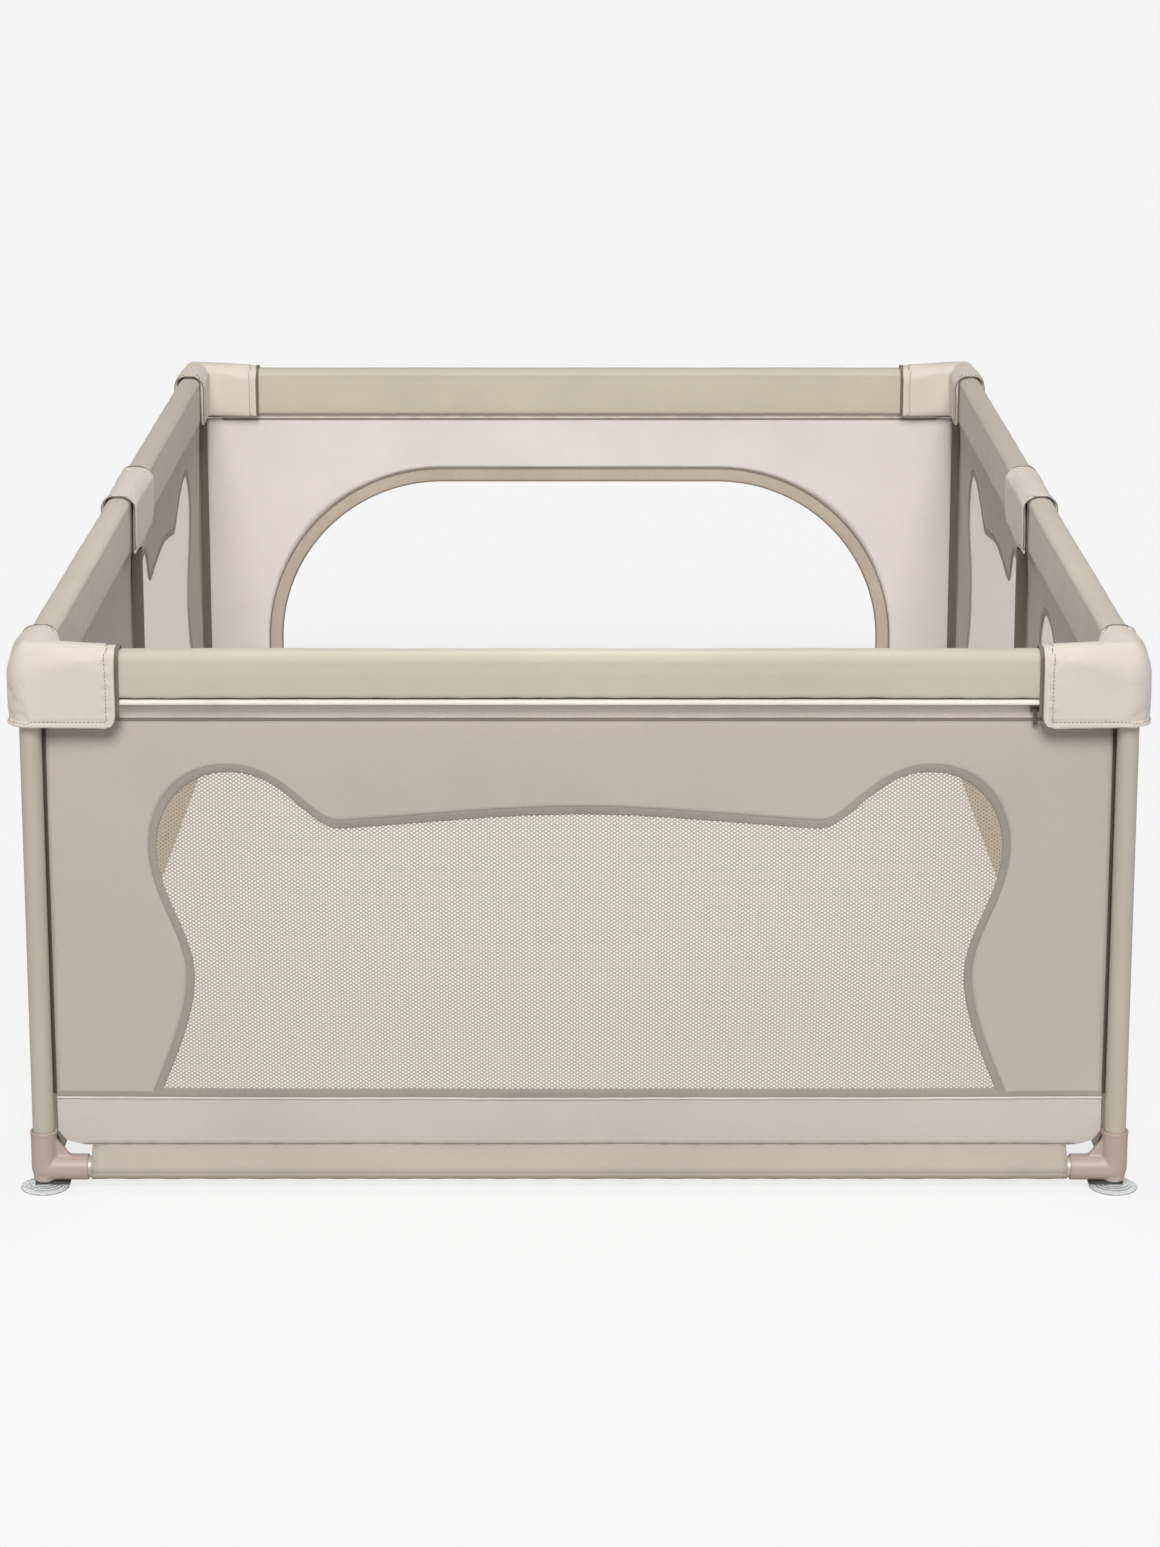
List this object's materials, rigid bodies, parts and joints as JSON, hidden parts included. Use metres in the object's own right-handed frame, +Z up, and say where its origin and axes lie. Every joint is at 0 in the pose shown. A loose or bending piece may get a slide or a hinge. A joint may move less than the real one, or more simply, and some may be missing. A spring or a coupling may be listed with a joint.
{
  "type": "baby playpen",
  "caption": "Rectangular fabric playpen on a tubular frame, with padded top rails, netting windows with eared outlines and a let-down zipped door in the back wall.",
  "frame": {"origin": "on the floor, at the middle of the area that the pen and its lowered door cover", "axes": "+Z up; +X across the pen to the right as seen from the front; +Y from the front wall to the door wall"},
  "size_m": [1.298, 2.187, 0.656],
  "materials": {
    "painted_steel": "satin powder coat, beige",
    "connector_plastic": "satin moulded plastic, pinkish beige",
    "clear_vinyl": "clear soft vinyl",
    "pad_rubber": "matt dark rubber",
    "foam": "closed-cell foam tube, hidden under the covers",
    "rail_fabric": "coated woven cloth, satin sheen",
    "cover_fabric": "padded coated cloth with stitched hems",
    "wall_fabric": "fine coated woven cloth",
    "netting": "hexagonal knitted net",
    "binding": "woven binding tape, taupe",
    "zip_tape": "woven zip tape, pinkish beige",
    "dark_webbing": "dark brown woven band",
    "slider_metal": "dark painted zip slider"
  },
  "bodies": {
    "pen": {"front_left_post": "painted_steel", "front_right_post": "painted_steel", "back_right_post": "painted_steel", "back_left_post": "painted_steel", "middle_left_post": "painted_steel", "middle_right_post": "painted_steel", "front_left_base_connector": "connector_plastic", "front_right_base_connector": "connector_plastic", "back_right_base_connector": "connector_plastic", "back_left_base_connector": "connector_plastic", "middle_left_base_connector": "connector_plastic", "middle_right_base_connector": "connector_plastic", "top_connectors": "connector_plastic", "top_rail_tubes": "painted_steel", "bottom_rail_tubes": "painted_steel", "foot_pads": "pad_rubber", "rail_foam": "foam", "front_rail_cover": "rail_fabric", "back_rail_cover": "rail_fabric", "left_front_rail_cover": "rail_fabric", "left_back_rail_cover": "rail_fabric", "right_front_rail_cover": "rail_fabric", "right_back_rail_cover": "rail_fabric", "front_left_corner_cover": "cover_fabric", "front_right_corner_cover": "cover_fabric", "back_right_corner_cover": "cover_fabric", "back_left_corner_cover": "cover_fabric", "middle_left_cover": "cover_fabric", "middle_right_cover": "cover_fabric", "front_wall": "wall_fabric", "back_wall": "wall_fabric", "left_front_wall": "wall_fabric", "left_back_wall": "wall_fabric", "right_front_wall": "wall_fabric", "right_back_wall": "wall_fabric", "wall_joining_bands": "dark_webbing", "front_net": "netting", "left_front_net": "netting", "left_back_net": "netting", "right_front_net": "netting", "right_back_net": "netting", "window_bindings": "binding", "rail_zip_tapes": "zip_tape", "door_zip_band": "zip_tape", "door_hinge_piping": "binding"},
    "front_zip_slider": {"front_zip_slider": "slider_metal"},
    "back_zip_slider": {"back_zip_slider": "slider_metal"},
    "left_front_zip_slider": {"left_front_zip_slider": "slider_metal"},
    "left_back_zip_slider": {"left_back_zip_slider": "slider_metal"},
    "right_front_zip_slider": {"right_front_zip_slider": "slider_metal"},
    "right_back_zip_slider": {"right_back_zip_slider": "slider_metal"},
    "door_slider_left": {"door_slider_left": "slider_metal"},
    "door_slider_right": {"door_slider_right": "slider_metal"},
    "door_flap": {"door_flap": "wall_fabric"},
    "front_left_suction_cup": {"front_left_suction_cup": "clear_vinyl"},
    "front_right_suction_cup": {"front_right_suction_cup": "clear_vinyl"},
    "back_right_suction_cup": {"back_right_suction_cup": "clear_vinyl"},
    "back_left_suction_cup": {"back_left_suction_cup": "clear_vinyl"},
    "middle_left_suction_cup": {"middle_left_suction_cup": "clear_vinyl"},
    "middle_right_suction_cup": {"middle_right_suction_cup": "clear_vinyl"}
  },
  "joints": [
    {"name": "front_zip", "type": "slide", "parent": "pen", "child": "front_zip_slider", "axis": [-1, 0, 0], "range_m": [0, 1.03]},
    {"name": "back_zip", "type": "slide", "parent": "pen", "child": "back_zip_slider", "axis": [1, 0, 0], "range_m": [0, 1.03]},
    {"name": "left_front_zip", "type": "slide", "parent": "pen", "child": "left_front_zip_slider", "axis": [0, 1, 0], "range_m": [0, 0.714]},
    {"name": "left_back_zip", "type": "slide", "parent": "pen", "child": "left_back_zip_slider", "axis": [0, 1, 0], "range_m": [0, 0.714]},
    {"name": "right_front_zip", "type": "slide", "parent": "pen", "child": "right_front_zip_slider", "axis": [0, -1, 0], "range_m": [0, 0.714]},
    {"name": "right_back_zip", "type": "slide", "parent": "pen", "child": "right_back_zip_slider", "axis": [0, -1, 0], "range_m": [0, 0.714]},
    {"name": "door_zip_left", "type": "slide", "parent": "pen", "child": "door_slider_left", "axis": [0, 0, 1], "range_m": [0, 0.048]},
    {"name": "door_zip_right", "type": "slide", "parent": "pen", "child": "door_slider_right", "axis": [0, 0, 1], "range_m": [0, 0.048]},
    {"name": "door_flap_fold", "type": "hinge", "parent": "pen", "child": "door_flap", "pos_m": [0, 0.78047, 0.1226], "axis": [1, 0, 0], "range_deg": [0, 111.23]},
    {"name": "front_left_cup_turn", "type": "hinge", "parent": "pen", "child": "front_left_suction_cup", "pos_m": [-0.621, -1.06553, 0.01], "axis": [0, 0, 1], "continuous": true},
    {"name": "front_right_cup_turn", "type": "hinge", "parent": "pen", "child": "front_right_suction_cup", "pos_m": [0.621, -1.06553, 0.01], "axis": [0, 0, 1], "continuous": true},
    {"name": "back_right_cup_turn", "type": "hinge", "parent": "pen", "child": "back_right_suction_cup", "pos_m": [0.621, 0.78647, 0.01], "axis": [0, 0, 1], "continuous": true},
    {"name": "back_left_cup_turn", "type": "hinge", "parent": "pen", "child": "back_left_suction_cup", "pos_m": [-0.621, 0.78647, 0.01], "axis": [0, 0, 1], "continuous": true},
    {"name": "middle_left_cup_turn", "type": "hinge", "parent": "pen", "child": "middle_left_suction_cup", "pos_m": [-0.621, -0.13953, 0.01], "axis": [0, 0, 1], "continuous": true},
    {"name": "middle_right_cup_turn", "type": "hinge", "parent": "pen", "child": "middle_right_suction_cup", "pos_m": [0.621, -0.13953, 0.01], "axis": [0, 0, 1], "continuous": true}
  ]
}
